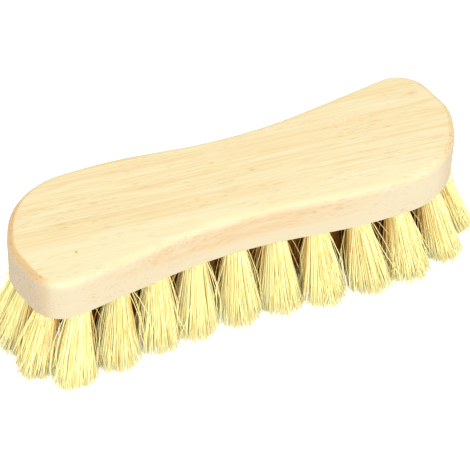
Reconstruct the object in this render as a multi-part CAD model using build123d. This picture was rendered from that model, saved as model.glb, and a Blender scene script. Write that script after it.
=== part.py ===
from build123d import *
import math
import os

os.makedirs("parts", exist_ok=True)

# A wooden scrub brush with an S-shaped block, standing on its bristles.
# Millimetres. The origin is under the middle of the block, in the plane of the bristle tips.
# X runs along the block and its grain, and Z points up.

# The block
block_length = 210.0
block_width = 80.8
block_thickness = 21.5
top_round = 3.5
underside_round = 0.8

# Half the S, from the nose of one end over its tip, the waist and the back to the other shoulder:
# its corners before rounding, as shares of half the length and half the width, and how far the
# arc that rounds each corner reaches, as a share of the shorter run beside it.
# The other half of the outline is the same corners turned half round the origin.
corner_shares = [(1.010, 0.309), (0.919, 1.070), (0.116, 0.584), (-0.483, 0.663), (-0.915, 0.549)]
arc_reach_shares = [0.217, 0.448, 0.485, 0.329, 0.656]

# The bristles below the block, trimmed level
trim_height = 38.0
tip_cut = 0.5

# How far the middle of a tuft's tips stands out from its root, at the rim and in the inner rows.
# Along the middle it stands out across the brush, and at the ends it is drawn endwards as well,
# by this share of the pull across.
rim_flare = 9.0
inner_flare = 3.5
endward_share = 1.2

# The drilled holes
hole_diameter = 8.5
hole_depth = 13.0
drill_point_angle = 118.0
drill_tilt_share = 0.6
drill_overrun = 4.0

# The rows of holes: a ring round the rim, and two staggered rows inside it
rim_inset = 9.0
side_tufts = 10
end_tufts = 3
side_run_share = 0.757
row_shift = 3.6
inner_tufts = 9

# How far the two inner rows stand apart at the waist, how much more at the ends, and how far the
# middle of the S rises at its ends, as shares of the block's width
row_gap_share = 0.129
row_gap_growth_share = 0.062
centreline_rise_share = 0.173

# One tuft: a bundle folded over its anchor, and the strands that spread from its root
tuft_clearance = 0.15
fold_gap = 0.3
root_reach = 3.0
root_lap = 1.5
root_inset = 0.5
tuft_tip_radius = 9.3
tip_clearance = 0.4
inner_strands = 3
outer_strands = 8
inner_ring_share = 0.32
outer_ring_share = 0.765
strand_side_share = 0.37
turn_between_tufts = 137.5

# The flat wire anchor across the fold, with its ends in the wood
anchor_length = 10.5
anchor_width = 2.4
anchor_thickness = 0.6
anchor_clearance = 0.1
fold_thickness = 3.5

half_length = block_length / 2
half_width = block_width / 2
underside = trim_height
hole_radius = hole_diameter / 2
plug_radius = hole_radius - tuft_clearance
plug_top = hole_depth - fold_gap


def outline():
    """The S outline of the block, as a face at the height of zero."""
    half = [Vector(half_length * along, half_width * across) for along, across in corner_shares]
    corners = half + [-corner for corner in half]
    radii = []
    for k, share in enumerate(arc_reach_shares * 2):
        back = corners[k - 1] - corners[k]
        ahead = corners[(k + 1) % len(corners)] - corners[k]
        reach = share * min(back.length, ahead.length)
        radii.append(reach * math.tan(math.radians(back.get_angle(ahead) / 2)))
    return make_face(FilletPolyline(*corners, radius=radii, close=True))


def centreline(x):
    """How far the middle of the S stands across the block at a place along it."""
    rise = block_width * centreline_rise_share
    return math.copysign(rise * (x / half_length) ** 2, x)


def fanned(mouth, outward, flare):
    """The middle of a tuft's tips: out from its root, and drawn towards the nearer end."""
    endward = Vector(endward_share * mouth.X / half_length, 0)
    return mouth + (outward + endward).normalized() * flare


def rim_places():
    """Half the ring of tufts, as mouths and tips: an even run along one side, then the end's."""
    edge = outline().wire()
    ring = edge.offset_2d(-rim_inset)
    middle = ring.closest_points(Vertex(row_shift, -half_width, 0))[0]
    run = side_run_share / 2
    start = ring.param_at_point(middle) - run / 2
    sides = [start + run * k / (side_tufts - 1) for k in range(side_tufts)]
    rest = (1 - side_run_share) / 2
    ends = [start + run + rest * k / (end_tufts + 1) for k in range(1, end_tufts + 1)]
    half = []
    for share in sides + ends:
        mouth = ring.position_at(share % 1)
        outward = (edge.closest_points(mouth)[0] - mouth).normalized()
        half.append((mouth, fanned(mouth, outward, rim_flare)))
    pitch = ring.length * run / (side_tufts - 1)
    return half, pitch


def inner_places(pitch):
    """One of the two inner rows, staggered against the other and against the ring."""
    first = -(inner_tufts - 1) / 2
    row = []
    for k in range(inner_tufts):
        x = row_shift + (first + k) * pitch
        gap_share = row_gap_share + row_gap_growth_share * (x / half_length) ** 2
        mouth = Vector(x, centreline(x) - block_width * gap_share / 2)
        row.append((mouth, fanned(mouth, Vector(0, -1), inner_flare)))
    return row


def hole_frame(mouth, tip):
    """The frame of a hole: its mouth on the underside, Z into the wood, X along the anchor."""
    lean = (tip - mouth) * drill_tilt_share
    axis = Vector(-lean.X, -lean.Y, trim_height)
    return Plane(origin=mouth + Vector(0, 0, underside), x_dir=(1, 0, 0), z_dir=axis)


def upright(bottom, top, radius):
    """A round bar along the Z of a hole's frame, between two depths."""
    return Pos(0, 0, (bottom + top) / 2) * Cylinder(radius, top - bottom)


def drilled_hole():
    """What the drill takes out, in the hole's own frame."""
    point_height = hole_radius / math.tan(math.radians(drill_point_angle / 2))
    point = Pos(0, 0, hole_depth + point_height / 2) * Cone(hole_radius, 0, point_height)
    return upright(-drill_overrun, hole_depth, hole_radius) + point


def anchor_bar(clearance):
    """The anchor under the fold, in the hole's own frame, or with a clearance the room for it."""
    middle = plug_top - fold_thickness - anchor_width / 2
    room = 2 * clearance
    return Pos(0, 0, middle) * Box(anchor_length + room, anchor_thickness + room, anchor_width + room)


def folded_root():
    """The bound root in its hole: a bundle folded over the anchor, so its top is an arch."""
    bundle = upright(-root_reach, plug_top, plug_radius)
    arch_bottom = plug_top - plug_radius
    arch = Pos(0, 0, arch_bottom) * Rot(0, 90, 0) * Cylinder(plug_radius, hole_diameter)
    legs = upright(-root_reach, arch_bottom, plug_radius)
    return legs + (bundle & arch) - anchor_bar(anchor_clearance)


def strand(root, tip, tip_radius, ring_share, angle):
    """One four-sided strand with flat sides, from just below the tips to inside the bound root."""
    ends = []
    for centre, radius in ((tip, tip_radius), (root, plug_radius - root_inset)):
        middle = centre + Vector(radius * ring_share, 0).rotate(Axis.Z, angle)
        corner = Vector(radius, radius) * strand_side_share / 2
        ends.append([middle + corner.rotate(Axis.Z, angle + 90 * k) for k in range(4)])
    low, high = ends
    sides = [[low[k - 1], low[k], high[k], high[k - 1]] for k in range(4)]
    return Solid(Shell([Face(Wire.make_polygon(rim)) for rim in ends + sides]))


def tuft(mouth, tip, bound_root, tip_radius, turn):
    """A tuft in place: its folded root with its strands, cut level where the brush stands."""
    frame = hole_frame(mouth, tip)
    root = frame.from_local_coords((0, 0, root_lap - root_reach))
    end = tip - Vector(0, 0, tip_cut)
    strands = []
    for count, share in ((inner_strands, inner_ring_share), (outer_strands, outer_ring_share)):
        for k in range(count):
            strands.append(strand(root, end, tip_radius, share, turn + 360 * k / count))
    solid = (frame * bound_root).fuse(*strands)
    return split(solid, bisect_by=Plane.XY, keep=Keep.TOP)


def block(frames):
    """The block: the S cut from a plank, its edges rounded, with a hole and anchor seat a tuft."""
    body = Pos(0, 0, underside) * extrude(outline(), block_thickness)
    body = fillet(body.faces().sort_by(Axis.Z)[-1].edges(), top_round)
    body = fillet(body.faces().sort_by(Axis.Z)[0].edges(), underside_round)
    cutter = drilled_hole() + anchor_bar(anchor_clearance)
    return body - [frame * cutter for frame in frames]


def write(shape, node):
    """Writes one node, under its own name."""
    export_step(shape, f"parts/{node}.step")


rim, pitch = rim_places()
rows = {"rim_tuft": rim, "inner_tuft": inner_places(pitch)}
places = [place for row in rows.values() for place in row]
places += [(-mouth, -tip) for mouth, tip in places]
frames = [hole_frame(mouth, tip) for mouth, tip in places]

write(block(frames), "block")
anchor = anchor_bar(0)
write(Compound(children=[frame * anchor for frame in frames]), "anchors")

bound_root = folded_root()
half_turn = Rot(0, 0, 180)
turn = 0
for name, row in rows.items():
    for k, (mouth, tip) in enumerate(row):
        nearest = min((tip - other).length for _, other in places if other != tip)
        radius = min(tuft_tip_radius, (nearest - tip_clearance) / 2)
        solid = tuft(mouth, tip, bound_root, radius, turn)
        write(solid, f"{name}_{k + 1:02d}")
        write(half_turn * solid, f"{name}_{len(row) + k + 1:02d}")
        turn += turn_between_tufts
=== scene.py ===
import math
import random

import bpy
from mathutils import Matrix, Vector


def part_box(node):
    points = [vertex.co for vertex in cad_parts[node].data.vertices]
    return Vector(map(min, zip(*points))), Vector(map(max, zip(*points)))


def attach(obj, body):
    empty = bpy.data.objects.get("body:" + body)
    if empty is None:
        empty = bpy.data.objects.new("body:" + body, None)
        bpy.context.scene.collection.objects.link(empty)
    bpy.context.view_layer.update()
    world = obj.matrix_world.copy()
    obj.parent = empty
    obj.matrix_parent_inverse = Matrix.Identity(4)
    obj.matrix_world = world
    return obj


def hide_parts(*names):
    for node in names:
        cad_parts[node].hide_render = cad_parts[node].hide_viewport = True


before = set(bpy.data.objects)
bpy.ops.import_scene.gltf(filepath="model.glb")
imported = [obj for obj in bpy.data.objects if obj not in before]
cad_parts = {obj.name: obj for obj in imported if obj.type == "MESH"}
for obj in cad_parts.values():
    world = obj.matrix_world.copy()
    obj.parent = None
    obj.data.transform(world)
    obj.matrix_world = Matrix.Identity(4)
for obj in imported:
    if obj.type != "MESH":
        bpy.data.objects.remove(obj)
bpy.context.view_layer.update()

# A wooden scrub brush standing on its bristles: a sanded block of pale obeche, bored for tufts of
# white tampico fibre that are folded over flat steel wire. Metres, in the frame's own axes.
MM = 0.001
SEED = 11
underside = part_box("block")[0][2]
rng = random.Random(SEED)

# Each tuft is made of fibres bent double over its wire, so each gives two ends below the block.
# A hole has evenly spread room for so many ends, less those where its wire lies.
ROOM_FOR_ENDS = 880
GOLDEN_TURN = math.radians(137.5)
FIBRE_SIDES = 4
FIBRE_RADIUS = 0.16 * MM
TIP_RADIUS_SHARE = 0.75
FIBRE_SIZE_SPREAD = 0.22

# The root in its hole: how far it hangs below the mouth, where its free ends part, the half of the
# slot that the wire fills between the fibres, and the height of the fold over the wire
FOOT_REACH = 3.0 * MM
WIRE_HALF_SLOT = 0.5 * MM
FOLD_HEIGHT = 3.3 * MM
FOLD_ANGLES = [math.radians(a) for a in (0, 90, 180)]

# A free end on its way down, and how its spread grows with the way: a nearly straight fan
STEPS_DOWN = (0.0, 0.22, 0.46, 0.72, 1.0)
FLARE_POWER = 1.4

# How unruly the free ends are: tips scatter and draw together in small clumps, and some stray.
TIP_SPREAD_SHARE = 1.33
TIP_SCATTER = 0.35 * MM
CLUMPS = 16
CLUMP_PULL = 0.16
BOW = 0.35 * MM
STRAY_SHARE = 0.12
STRAY_SCATTER = 3.0 * MM
STRAY_BOW = 2.4 * MM
TUFT_LEAN = 0.5 * MM

# How far use has bent the tufts that show most, in millimetres at their tips
BENT_TUFTS = {
    "rim_tuft_01": (-1, -2), "rim_tuft_04": (-1.5, 0), "rim_tuft_06": (-1, 1), "rim_tuft_08": (1, 0),
    "rim_tuft_10": (0, -4.5), "rim_tuft_11": (4, -3), "rim_tuft_24": (-2, 1.5), "rim_tuft_25": (1, 2),
}

# The trim, nearly level: the outer fibres end a little higher, and a few are short. A solid's tips
# are its points within a millimetre of the floor.
TRIM_ROUGHNESS = 0.5 * MM
TRIM_CROWN = 0.7 * MM
TRIM_CROWN_POWER = 3
SHORT_SHARE = 0.08
SHORT_BY = 4.0 * MM
FLOOR_GAP = 0.1 * MM
TIPS_BELOW = 1.0 * MM

# No tip strays farther than this from the middle of the brush, along and across.
FARTHEST_TIPS = (114.5 * MM, 47.3 * MM)

# Painted shade: the fibre is painted gold to brown where the brush shades it, up under the block and inside
# the brush, between these heights, and in the heart of a tuft from just above its tips.
PAINTED_SHADE_FROM = 2.0 * MM
PAINTED_SHADE_FULL = 26.0 * MM
PAINTED_SHADE_FULL_INSIDE = 11.0 * MM
PAINTED_SHADE_INWARD_POWER = 2.0
HEART_SHADE_FROM = 0.9
HEART_SHADE_FULL = 0.4
HEART_SHADE_SHARE = 0.24
HEART_SHADE_UP_TO = 5.0 * MM

# The flat map of a tuft, by the name that an export looks for: more cells than the 380 fibres, with
# a margin beside each. A tube's face has four corners, which lie round the tube and along it.
BAKE_MAP = "OFBake"
CELLS_ACROSS = 50
CELLS_DOWN = 8
CELL_MARGIN = 0.1
CORNERS_ROUND = (0, 1, 1, 0)
CORNERS_ALONG = (0, 0, 1, 1)

# The marks in the wood, in millimetres along and across the grain: its slow drift and how far that
# goes, the growth rings' bands, darker and paler streaks, fibre lines, warm patches, pores and the
# places that have them, streaks and dashes in the flame, and specks in the cut ends. Real fibre lines
# are as fine as a hair, and these are as wide as it takes to show.
DRIFT_SIZE = (90, 25)
DRIFT = 5
RING_BAND = (220, 4.2)
STREAK = (130, 1.3)
PALE_STREAK = (90, 0.9)
FIBRE_LINE = (34, 0.42)
WARM_PATCH = (55, 13)
PORE = (6, 0.42)
PORED_PLACE = (40, 9)
FLAME_STREAK = (60, 3.0)
FLAME_DASH = (9, 0.6)
END_SPECK = (1.8, 0.55)

# Places in the wood, in millimetres: the pith that it grew round, across and up, and a peach flame
# and a brown fleck, each with its middle and its reach along, across and up
PITH = (75, -40)
FLAME_CENTRE = (-15, -20.9, 55)
FLAME_REACH = (75, 22, 8)
FLECK_CENTRE = (-78.8, -23.6, 59.6)
FLECK_REACH = (1, 1, 20)

# The camera stands where the photograph was taken from: its angles round and above the brush, its
# lean, its distance, and how far the middle of the view lies from the middle of the underside.
VIEW_AROUND = math.radians(-20.18)
VIEW_ABOVE = math.radians(46.0)
VIEW_LEAN = math.radians(1.95)
VIEW_DISTANCE = 1053 * MM
VIEW_ASIDE = 0.04 * MM
VIEW_BELOW = 11.17 * MM
FOCAL_LENGTH = 183.7
SENSOR_WIDTH = 36.0

# The shade of a fibre changes about so often, in millimetres across a tuft and down it, and the
# lines drawn along the wire are so long and wide.
SHADE_CHANGE = (1.1, 9)
WIRE_LINE = (5, 1 / 9)

# The studio, in metres and watts: a white room, a soft box that stands high before the brush and
# aims at its tufts, and a floor that glows a little for the camera
ROOM_LIGHT = 1.58
BOX_WIDTH = 1.4
BOX_POWER = 24
BOX_SPOT = (0.1, -1.6, 1.2)
BOX_AIM = (0, 0, 0.03)
FLOOR_HALF = 4.0
FLOOR_GLOW = 0.8


def middle(points):
    """The mean of some points."""
    points = list(points)
    return sum(points, Vector()) / len(points)


def clump_centres():
    """Where the fibres of a tuft draw together at their tips, as shares of its spread."""
    centres = []
    for _ in range(CLUMPS):
        turn = rng.uniform(0, 2 * math.pi)
        centres.append(Vector((math.cos(turn), math.sin(turn), 0)) * math.sqrt(rng.random()))
    return centres


def scattered(size):
    """A random step across the floor."""
    return Vector((rng.gauss(0, size), rng.gauss(0, size), 0))


def tuft_place(node):
    """Where a tuft's fibres go, read from its solid: the foot of its root below the hole, the hole's
    axis, the ways along the wire and out from it, the root's length and radius, the middle of the
    tips and how far they spread from it."""
    points = [vertex.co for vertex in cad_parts[node].data.vertices]
    in_hole = [p for p in points if p.z > underside]
    low = [p for p in points if p.z < TIPS_BELOW]
    foot = middle(p for p in points if TIPS_BELOW < p.z < underside)
    axis = (middle(in_hole) - foot).normalized()
    tip = middle(low)
    along_block = Vector((1, 0, 0))
    along_wire = (along_block - axis * along_block.dot(axis)).normalized()
    return {
        "at_rim": "rim" in node,
        "clumps": clump_centres(),
        "foot": foot,
        "axis": axis,
        "wire": along_wire,
        "side": axis.cross(along_wire),
        "root_length": max((p - foot).dot(axis) for p in points),
        "root_radius": max(((p - foot) - axis * (p - foot).dot(axis)).length for p in in_hole),
        "tip": tip + scattered(TUFT_LEAN) + Vector((*BENT_TUFTS.get(node, (0, 0)), 0)) * MM,
        "spread": max((p - tip).length for p in low),
    }


def kept_in(tip):
    """A tip's place, moved back where it would stray too far out."""
    along, across = FARTHEST_TIPS
    return Vector((max(-along, min(along, tip.x)), max(-across, min(across, tip.y)), tip.z))


def painted_shade(place, offset, point):
    """How much painted shade a fibre gets at a point of its way, from its place in the root and the height
    there: gold to brown where the brush shades it.
    """
    outward = place["tip"] - place["foot"]
    outward.z = 0
    inward = 1.0
    full = PAINTED_SHADE_FULL_INSIDE
    if place["at_rim"]:
        inward = 0.5 - 0.5 * offset.dot(outward.normalized()) / place["root_radius"]
        full = PAINTED_SHADE_FULL
    up = min(1, max(0, (point.z - PAINTED_SHADE_FROM) / (full - PAINTED_SHADE_FROM)))
    shade_amount = max(0, inward) ** PAINTED_SHADE_INWARD_POWER * up
    # Painted shade between the fibres, in the heart of a tuft
    heart_shade = (HEART_SHADE_FROM - offset.length / place["root_radius"]) / (HEART_SHADE_FROM - HEART_SHADE_FULL)
    heart_shade = HEART_SHADE_SHARE * min(1, max(0, heart_shade)) * min(1, point.z / HEART_SHADE_UP_TO)
    return shade_amount + (1 - shade_amount) * heart_shade


def free_end(place, along, out):
    """One free end's path, from the hole's mouth down to its cut tip."""
    centre = place["foot"] + place["axis"] * FOOT_REACH
    offset = place["wire"] * along + place["side"] * out
    share = Vector((along, out, 0)) / place["root_radius"]
    clump = min(place["clumps"], key=lambda spot: (spot - share).length)
    stray = rng.random() < STRAY_SHARE
    tip_offset = share.lerp(clump, CLUMP_PULL * rng.random()) * place["spread"] * TIP_SPREAD_SHARE
    tip_offset += scattered(STRAY_SCATTER if stray else TIP_SCATTER)
    tip_offset = kept_in(place["tip"] + tip_offset) - place["tip"]
    bow = scattered(STRAY_BOW if stray else BOW)
    cut = FLOOR_GAP + TRIM_CROWN * share.length ** TRIM_CROWN_POWER + abs(rng.gauss(0, TRIM_ROUGHNESS))
    if rng.random() < SHORT_SHARE:
        cut += rng.uniform(0, SHORT_BY)
    path = []
    for down in STEPS_DOWN:
        point = centre.lerp(place["tip"], down) + offset.lerp(tip_offset, down ** FLARE_POWER)
        point += bow * math.sin(math.pi * down)
        point.z = (centre.z + offset.z) * (1 - down) + cut * down
        path.append(point)
    return path


def root_spots(place):
    """Where a tuft's fibres lie on one side of its wire: along it and out from it, spread evenly."""
    reach = place["root_radius"] - FIBRE_RADIUS
    for k in range(ROOM_FOR_ENDS):
        away = reach * math.sqrt((k + rng.random()) / ROOM_FOR_ENDS)
        out = away * math.sin(k * GOLDEN_TURN)
        if out > WIRE_HALF_SLOT:
            yield away * math.cos(k * GOLDEN_TURN), out


def fibre_path(place, along, out):
    """A fibre from tip to tip: up one side of the wire, over it, and down the other side."""
    spring = place["root_length"] - FOLD_HEIGHT - FIBRE_RADIUS
    fold = []
    for angle in FOLD_ANGLES:
        rise = FOLD_HEIGHT * (out / place["root_radius"]) * math.sin(angle)
        point = place["wire"] * along + place["side"] * out * math.cos(angle)
        fold.append(place["foot"] + point + place["axis"] * (spring + rise))
    return free_end(place, along, out)[::-1] + fold + free_end(place, along, -out)


def add_fibre(vertices, faces, painted_shades, path, place, radius):
    """Adds one fibre to a mesh: a thin tube along its path, with its two ends cut flat."""
    wire = place["wire"]
    mouth = place["foot"] + place["axis"] * FOOT_REACH
    steps_an_end = len(STEPS_DOWN)
    first = len(vertices)
    last_step = len(path) - 1
    for step, point in enumerate(path):
        ahead = path[min(step + 1, last_step)] - path[max(step - 1, 0)]
        ahead.normalize()
        left = (wire - ahead * wire.dot(ahead)).normalized()
        up = ahead.cross(left)
        start = path[steps_an_end - 1] if step <= last_step // 2 else path[-steps_an_end]
        # The painted shade at each ring of the tube, gold to brown where the brush shades the fibre
        painted_shades += [painted_shade(place, start - mouth, point)] * FIBRE_SIDES
        from_tip = min(step, last_step - step) / (steps_an_end - 1)
        size = radius * (TIP_RADIUS_SHARE + (1 - TIP_RADIUS_SHARE) * min(1, from_tip))
        for side in range(FIBRE_SIDES):
            turn = 2 * math.pi * side / FIBRE_SIDES
            vertices.append(point + (left * math.cos(turn) + up * math.sin(turn)) * size)
    for step in range(last_step):
        low = first + step * FIBRE_SIDES
        for side in range(FIBRE_SIDES):
            beside = (side + 1) % FIBRE_SIDES
            faces.append((low + side, low + beside, low + FIBRE_SIDES + beside, low + FIBRE_SIDES + side))
    end = first + last_step * FIBRE_SIDES
    faces.append(tuple(first + side for side in reversed(range(FIBRE_SIDES))))
    faces.append(tuple(end + side for side in range(FIBRE_SIDES)))


def lay_out(mesh, steps):
    """Lays a tuft's fibres out flat in a map, a cell each, so that each can be baked in its own shade."""
    faces_a_fibre = FIBRE_SIDES * (steps - 1) + 2
    rows = steps + 1
    last_turn = FIBRE_SIDES - 1
    laid = mesh.uv_layers.new(name=BAKE_MAP).data
    for face in mesh.polygons:
        cell, part = divmod(face.index, faces_a_fibre)
        step, side = divmod(part, FIBRE_SIDES)
        for corner, loop in enumerate(face.loop_indices):
            if step < steps - 1:
                turn = (side + CORNERS_ROUND[corner]) % FIBRE_SIDES
                down = 1 + step + CORNERS_ALONG[corner]
            else:
                turn = last_turn * CORNERS_ROUND[corner]
                down = side * (rows - 1) + CORNERS_ALONG[corner]
            across = CELL_MARGIN + (1 - 2 * CELL_MARGIN) * turn / last_turn
            left, low = cell % CELLS_ACROSS, cell // CELLS_ACROSS
            laid[loop].uv = (left + across) / CELLS_ACROSS, (low + down / rows) / CELLS_DOWN


def make_tuft(node, fibre):
    """One tuft of fibres in place of its solid."""
    place = tuft_place(node)
    vertices = []
    faces = []
    painted_shades = []
    for along, out in root_spots(place):
        radius = FIBRE_RADIUS * (1 + rng.uniform(-1, 1) * FIBRE_SIZE_SPREAD)
        add_fibre(vertices, faces, painted_shades, fibre_path(place, along, out), place, radius)
    mesh = bpy.data.meshes.new(node + "_fibres")
    mesh.from_pydata([tuple(v) for v in vertices], [], faces)
    mesh.shade_smooth()
    lay_out(mesh, len(FOLD_ANGLES) + 2 * len(STEPS_DOWN))
    # The painted shade goes on the mesh, for the fibre's material to read
    mesh.attributes.new("painted_shade", "FLOAT", "POINT").data.foreach_set("value", painted_shades)
    mesh.materials.append(fibre)
    tuft = bpy.data.objects.new(node + "_fibres", mesh)
    bpy.context.scene.collection.objects.link(tuft)
    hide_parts(node)
    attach(tuft, "root")


def linear(colour):
    """A colour given as an sRGB hex value, turned to linear with full opacity."""
    shares = [int(colour[k:k + 2], 16) / 255 for k in (1, 3, 5)]
    return tuple(s / 12.92 if s <= 0.04045 else ((s + 0.055) / 1.055) ** 2.4 for s in shares) + (1.0,)


def add(tree, kind, inputs, **settings):
    """Adds one node. Its inputs are given by name or number, as values, as sockets to link, or as
    nodes, which are linked by the first output that they have in use."""
    node = tree.nodes.new(kind)
    for name, value in settings.items():
        setattr(node, name, value)
    for name, value in inputs.items():
        if isinstance(value, bpy.types.Node):
            value = next(output for output in value.outputs if output.enabled)
        if isinstance(value, bpy.types.NodeSocket):
            tree.links.new(value, node.inputs[name])
        else:
            node.inputs[name].default_value = value
    return node


def new_material(name):
    """An empty material, with the tree that holds its nodes."""
    material = bpy.data.materials.new(name)
    material.use_nodes = True
    material.node_tree.nodes.clear()
    return material, material.node_tree


def in_millimetres(tree, place):
    """Where a point of the brush lies, in millimetres."""
    sizes = (1 / MM, 1 / MM, 1 / MM)
    return add(tree, "ShaderNodeVectorMath", {0: place.outputs["Object"], 1: sizes}, operation="MULTIPLY")


def lumps(tree, place, size, detail=2.0):
    """Soft noise whose lumps are so many millimetres long and wide."""
    along, across = size
    cells = add(tree, "ShaderNodeVectorMath", {0: place, 1: (1 / along, 1 / across, 1 / across)},
                operation="MULTIPLY")
    return add(tree, "ShaderNodeTexNoise", {"Vector": cells, "Scale": 1.0, "Detail": detail})


def marks(tree, place, size, levels, most=1.0, detail=2.0):
    """A mask of soft marks, so many millimetres long and wide. They start where their noise reaches
    the first level, and are full where it reaches the second."""
    start, full = levels
    noise = lumps(tree, place, size, detail)
    return add(tree, "ShaderNodeMapRange",
               {"Value": noise, "From Min": start, "From Max": full, "To Max": most})


def meeting(tree, *masks):
    """The mask where some masks meet. A number weakens it."""
    together, *others = masks
    for mask in others:
        together = add(tree, "ShaderNodeMath", {0: together, 1: mask}, operation="MULTIPLY")
    return together


# The numbers of a colour mix's inputs
FACTOR, FIRST, SECOND = 0, 6, 7


def laid_over(tree, under, colour, *masks):
    """A colour laid over what is under it, where all its masks let it through."""
    layers = {FACTOR: meeting(tree, *masks), FIRST: under, SECOND: linear(colour)}
    return add(tree, "ShaderNodeMix", layers, data_type="RGBA")


def pointing(tree, direction, axis):
    """How much a direction points along an axis, one way or the other."""
    axes = add(tree, "ShaderNodeSeparateXYZ", {"Vector": direction})
    return add(tree, "ShaderNodeMath", {0: axes.outputs[axis]}, operation="ABSOLUTE")


def away_from(tree, place, centre, reach):
    """How far a place lies from a centre, as a share of the reach along, across and up."""
    scale = [1 / length for length in reach]
    shift = [-where / length for where, length in zip(centre, reach)]
    away = add(tree, "ShaderNodeVectorMath", {0: place, 1: scale, 2: shift}, operation="MULTIPLY_ADD")
    return add(tree, "ShaderNodeVectorMath", {0: away}, operation="LENGTH")


def wandering_grain(tree, in_mm):
    """The wood's own place, in millimetres: straight along the block but for a slow drift."""
    drift = lumps(tree, in_mm, DRIFT_SIZE)
    return add(tree, "ShaderNodeVectorMath", {0: drift.outputs["Color"], 1: (0, DRIFT, DRIFT), 2: in_mm},
               operation="MULTIPLY_ADD")


def growth_bands(tree, grain):
    """Growth rings round a pith that ran beside and below the plank show as bands some 4 mm wide that
    run the length of the block."""
    across, up = PITH
    from_pith = add(tree, "ShaderNodeVectorMath", {0: grain, 1: (0, -across, -up)}, operation="ADD")
    flat = add(tree, "ShaderNodeVectorMath", {0: from_pith, 1: (0, 1, 1)}, operation="MULTIPLY")
    radius = add(tree, "ShaderNodeVectorMath", {0: flat}, operation="LENGTH")
    axes = add(tree, "ShaderNodeSeparateXYZ", {"Vector": grain})
    ring_place = add(tree, "ShaderNodeCombineXYZ", {"X": axes.outputs["X"], "Y": radius})
    return marks(tree, ring_place, RING_BAND, (0.38, 0.66), detail=3.0)


def streaked_plank(tree, grain, lines):
    """The plank's own colour: pale cream, streaked along the grain."""
    colour = laid_over(tree, linear("#BEB491"), "#BDAD82", growth_bands(tree, grain))

    # Streaks of denser wood a millimetre or two wide and longer than a finger, and pale ones between
    colour = laid_over(tree, colour, "#BAA475", marks(tree, grain, STREAK, (0.5, 0.66), 0.85))
    colour = laid_over(tree, colour, "#C0BB9C", marks(tree, grain, PALE_STREAK, (0.56, 0.7), 0.55, 1.0))
    colour = laid_over(tree, colour, "#BAA071", lines)

    # Warm patches the size of a thumb, and paler wood towards the near side
    colour = laid_over(tree, colour, "#BCA67B", marks(tree, grain, WARM_PATCH, (0.5, 0.72), 0.5))
    across = add(tree, "ShaderNodeSeparateXYZ", {"Vector": grain}).outputs["Y"]
    near_side = add(tree, "ShaderNodeMapRange",
                    {"Value": across, "From Min": -7, "From Max": -21, "To Max": 0.5})
    return laid_over(tree, colour, "#BFBA97", near_side)


def peach_and_painted_light_sides(tree, colour, grain, sideways):
    """The upright sides are a touch pinker and paler, partly the wood's own tone and partly painted light,
    and the near one has a long peach flame with darker dashes under its top edge."""
    # Partly painted light: one pinker, paler colour on every upright face
    colour = laid_over(tree, colour, "#C0B297", sideways, 0.7)
    flame = add(tree, "ShaderNodeMapRange",
                {"Value": away_from(tree, grain, FLAME_CENTRE, FLAME_REACH),
                 "From Min": 1.15, "From Max": 0.5, "To Max": 0.55})
    flame = meeting(tree, flame, marks(tree, grain, FLAME_STREAK, (0.3, 0.6)))
    dashes = meeting(tree, flame, marks(tree, grain, FLAME_DASH, (0.5, 0.66), 0.6, 3.0))
    colour = laid_over(tree, colour, "#C29F6E", flame, sideways)
    return laid_over(tree, colour, "#A67A50", dashes, sideways)


def end_grain_and_shade(tree, colour, grain, normal, upways, sideways):
    """Across the ends the cut fibres drink light: tan on the rounded edge, and more so towards the left end,
    where that tan is partly painted shade; paler on the upright side, and specked."""
    level = add(tree, "ShaderNodeVectorMath", {0: normal, 1: (1, 1, 0)}, operation="MULTIPLY")
    outward = add(tree, "ShaderNodeVectorMath", {0: level}, operation="NORMALIZE")
    endways = add(tree, "ShaderNodeMapRange",
                  {"Value": pointing(tree, outward, "X"), "From Min": 0.5, "From Max": 0.85})
    off_the_top = add(tree, "ShaderNodeMapRange", {"Value": upways, "From Min": 0.998, "From Max": 0.95})
    cut_across = meeting(tree, endways, off_the_top)
    along = add(tree, "ShaderNodeSeparateXYZ", {"Vector": grain}).outputs["X"]
    # Painted shade in part: the tan of the rounded end edge grows towards the left end
    painted_shade_left = add(tree, "ShaderNodeMapRange",
                    {"Value": along, "From Min": 190, "From Max": -20, "To Max": 0.85})
    colour = laid_over(tree, colour, "#B5935F", cut_across, painted_shade_left)
    colour = laid_over(tree, colour, "#B7A88E", cut_across, sideways, 0.9)
    specks = marks(tree, grain, END_SPECK, (0.55, 0.68), 0.8, 1.0)
    return laid_over(tree, colour, "#9B7B56", specks, cut_across)


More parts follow.
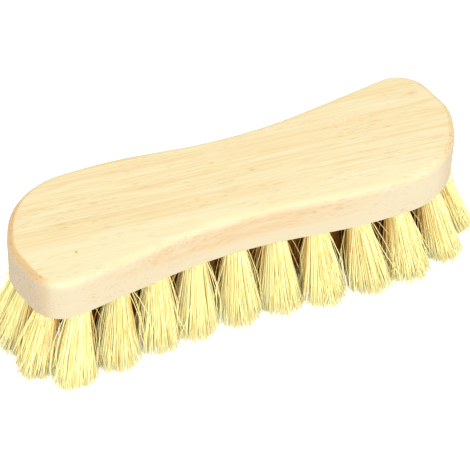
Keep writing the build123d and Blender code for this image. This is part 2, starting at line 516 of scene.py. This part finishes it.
def sanded_obeche():
    """Raw obeche, planed, cut to shape and sanded: pale cream and nearly matt, with straight streaks,
    open pores and the tan of cut ends."""
    material, tree = new_material("sanded_obeche")
    place = add(tree, "ShaderNodeTexCoord", {})
    in_mm = in_millimetres(tree, place)
    grain = wandering_grain(tree, in_mm)
    normal = place.outputs["Normal"]
    upways = pointing(tree, normal, "Z")
    sideways = add(tree, "ShaderNodeMapRange", {"Value": upways, "From Min": 0.75, "From Max": 0.2})

    lines = marks(tree, grain, FIBRE_LINE, (0.46, 0.66), 0.62)
    colour = streaked_plank(tree, grain, lines)
    colour = peach_and_painted_light_sides(tree, colour, grain, sideways)
    colour = end_grain_and_shade(tree, colour, grain, normal, upways, sideways)

    # Open pores: tan dashes about 6 mm long and 0.4 mm wide, in some places only
    pores = meeting(tree, marks(tree, grain, PORE, (0.62, 0.72), 0.75, 1.0),
                    marks(tree, grain, PORED_PLACE, (0.45, 0.6)))
    colour = laid_over(tree, colour, "#A67E4E", pores)

    # One brown fleck by the left end, where a twig once ended
    fleck = add(tree, "ShaderNodeMapRange",
                {"Value": away_from(tree, in_mm, FLECK_CENTRE, FLECK_REACH),
                 "From Min": 0.9, "From Max": 0.3, "To Max": 0.65})
    colour = laid_over(tree, colour, "#8F6030", fleck)

    # The pores are hollow, and the fibre lines stand a hair proud and are rougher.
    height = add(tree, "ShaderNodeMath", {0: pores, 1: -0.8, 2: lines}, operation="MULTIPLY_ADD")
    relief = add(tree, "ShaderNodeBump", {"Strength": 0.4, "Distance": 0.08 * MM, "Height": height})
    rough = add(tree, "ShaderNodeMapRange", {"Value": lines, "To Min": 0.52, "To Max": 0.66})
    shader = add(tree, "ShaderNodeBsdfPrincipled",
                 {"Base Color": colour, "Roughness": rough, "IOR": 1.5, "Specular IOR Level": 0.35,
                  "Normal": relief})
    add(tree, "ShaderNodeOutputMaterial", {"Surface": shader})
    return material


def cut_tampico():
    """White tampico, combed and cut: dry plant fibre with a satin skin, each one its own straw shade."""
    material, tree = new_material("cut_tampico")
    in_mm = in_millimetres(tree, add(tree, "ShaderNodeTexCoord", {}))

    # The fibres go from pale lemon to straw, and one in eight is golden.
    own = add(tree, "ShaderNodeNewGeometry", {}).outputs["Random Per Island"]
    straw = add(tree, "ShaderNodeMapRange", {"Value": own, "From Min": 0.2, "From Max": 0.8})
    colour = laid_over(tree, linear("#FFFDC6"), "#FEF5AE", straw)
    golden = add(tree, "ShaderNodeMapRange", {"Value": own, "From Min": 0.86, "From Max": 0.88})
    colour = laid_over(tree, colour, "#F4DD8C", golden)

    # Along each one the shade changes every centimetre or so.
    across, down = SHADE_CHANGE
    cells = add(tree, "ShaderNodeVectorMath", {0: in_mm, 1: (1 / across, 1 / across, 1 / down)},
                operation="MULTIPLY")
    changes = add(tree, "ShaderNodeTexNoise", {"Vector": cells, "Scale": 1.0, "Detail": 1.0})
    mottle = add(tree, "ShaderNodeMapRange",
                 {"Value": changes, "From Min": 0.5, "From Max": 0.75, "To Max": 0.3})
    colour = laid_over(tree, colour, "#EEDB90", mottle)

    # Painted shade: where the block and the other fibres shade the fibre, its colour goes from gold to
    # brown.
    shade_amount = add(tree, "ShaderNodeAttribute", {}, attribute_name="painted_shade").outputs["Fac"]
    to_gold_shade = add(tree, "ShaderNodeMapRange",
                  {"Value": shade_amount, "From Min": 0.02, "From Max": 0.5, "To Max": 0.8})
    colour = laid_over(tree, colour, "#E0AC4A", to_gold_shade)
    to_brown_shade = add(tree, "ShaderNodeMapRange",
                   {"Value": shade_amount, "From Min": 0.4, "From Max": 0.95, "To Max": 0.95})
    colour = laid_over(tree, colour, "#8F5A18", to_brown_shade)
    shader = add(tree, "ShaderNodeBsdfPrincipled",
                 {"Base Color": colour, "Roughness": 0.5, "IOR": 1.53, "Specular IOR Level": 0.12})
    add(tree, "ShaderNodeOutputMaterial", {"Surface": shader})
    return material


def drawn_wire():
    """Flat steel wire, drawn and tinned: a dull metal with fine lines along it."""
    material, tree = new_material("drawn_flat_wire")
    in_mm = in_millimetres(tree, add(tree, "ShaderNodeTexCoord", {}))
    lines = lumps(tree, in_mm, WIRE_LINE)
    grey = laid_over(tree, linear("#C9C7C2"), "#9E9B95", lines)
    rough = add(tree, "ShaderNodeMapRange", {"Value": lines, "To Min": 0.28, "To Max": 0.45})
    shader = add(tree, "ShaderNodeBsdfPrincipled", {"Base Color": grey, "Metallic": 1.0, "Roughness": rough})
    add(tree, "ShaderNodeOutputMaterial", {"Surface": shader})
    return material


def dress(node, material):
    """Gives a solid of the frame its material in each of its slots."""
    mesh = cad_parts[node].data
    if not mesh.materials:
        mesh.materials.append(material)
    for k in range(len(mesh.materials)):
        mesh.materials[k] = material


def place_camera():
    """The camera at the photograph's viewing angle."""
    level = Vector((math.cos(VIEW_AROUND), math.sin(VIEW_AROUND), 0))
    back = Vector((math.sin(VIEW_AROUND) * math.cos(VIEW_ABOVE),
                   -math.cos(VIEW_AROUND) * math.cos(VIEW_ABOVE), math.sin(VIEW_ABOVE)))
    upright = back.cross(level)
    right = level * math.cos(VIEW_LEAN) + upright * math.sin(VIEW_LEAN)
    up = upright * math.cos(VIEW_LEAN) - level * math.sin(VIEW_LEAN)
    spot = Vector((0, 0, underside)) + back * VIEW_DISTANCE - right * VIEW_ASIDE - up * VIEW_BELOW
    data = bpy.data.cameras.new("camera")
    data.sensor_width = SENSOR_WIDTH
    data.lens = FOCAL_LENGTH
    camera = bpy.data.objects.new("camera", data)
    bpy.context.scene.collection.objects.link(camera)
    turned = Matrix((right, up, back)).transposed().to_4x4()
    camera.matrix_world = Matrix.Translation(spot) @ turned
    bpy.context.scene.camera = camera


def light_studio():
    """White light: a white room, with one large square soft box before the brush, a little right."""
    world = bpy.data.worlds.new("white_room")
    bpy.context.scene.world = world
    world.use_nodes = True
    room = world.node_tree.nodes["Background"].inputs
    room["Color"].default_value = linear("#FFFFFF")
    room["Strength"].default_value = ROOM_LIGHT
    data = bpy.data.lights.new("front_box", "AREA")
    data.size = BOX_WIDTH
    data.energy = BOX_POWER
    box = bpy.data.objects.new("front_box", data)
    bpy.context.scene.collection.objects.link(box)
    box.location = BOX_SPOT
    box.rotation_euler = (Vector(BOX_AIM) - Vector(BOX_SPOT)).to_track_quat("-Z", "Y").to_euler()
    bpy.context.scene.view_settings.view_transform = "Standard"


def lay_floor():
    """A pale grey sweep, lifted to white where the camera looks at it, so its shadows stay faint."""
    material, tree = new_material("white_sweep")
    seen = add(tree, "ShaderNodeLightPath", {}).outputs["Is Camera Ray"]
    glow = add(tree, "ShaderNodeMath", {0: seen, 1: FLOOR_GLOW}, operation="MULTIPLY")
    shader = add(tree, "ShaderNodeBsdfPrincipled",
                 {"Base Color": linear("#D0D0D0"), "Roughness": 0.9, "Emission Color": linear("#FFFFFF"),
                  "Emission Strength": glow})
    add(tree, "ShaderNodeOutputMaterial", {"Surface": shader})
    corners = [(-FLOOR_HALF, -FLOOR_HALF, 0), (FLOOR_HALF, -FLOOR_HALF, 0),
               (FLOOR_HALF, FLOOR_HALF, 0), (-FLOOR_HALF, FLOOR_HALF, 0)]
    mesh = bpy.data.meshes.new("floor")
    mesh.from_pydata(corners, [], [(0, 1, 2, 3)])
    mesh.materials.append(material)
    floor = bpy.data.objects.new("floor", mesh)
    bpy.context.scene.collection.objects.link(floor)


fibre = cut_tampico()
for node in sorted(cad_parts):
    if "tuft" in node:
        make_tuft(node, fibre)
dress("block", sanded_obeche())
dress("anchors", drawn_wire())
place_camera()
light_studio()
lay_floor()
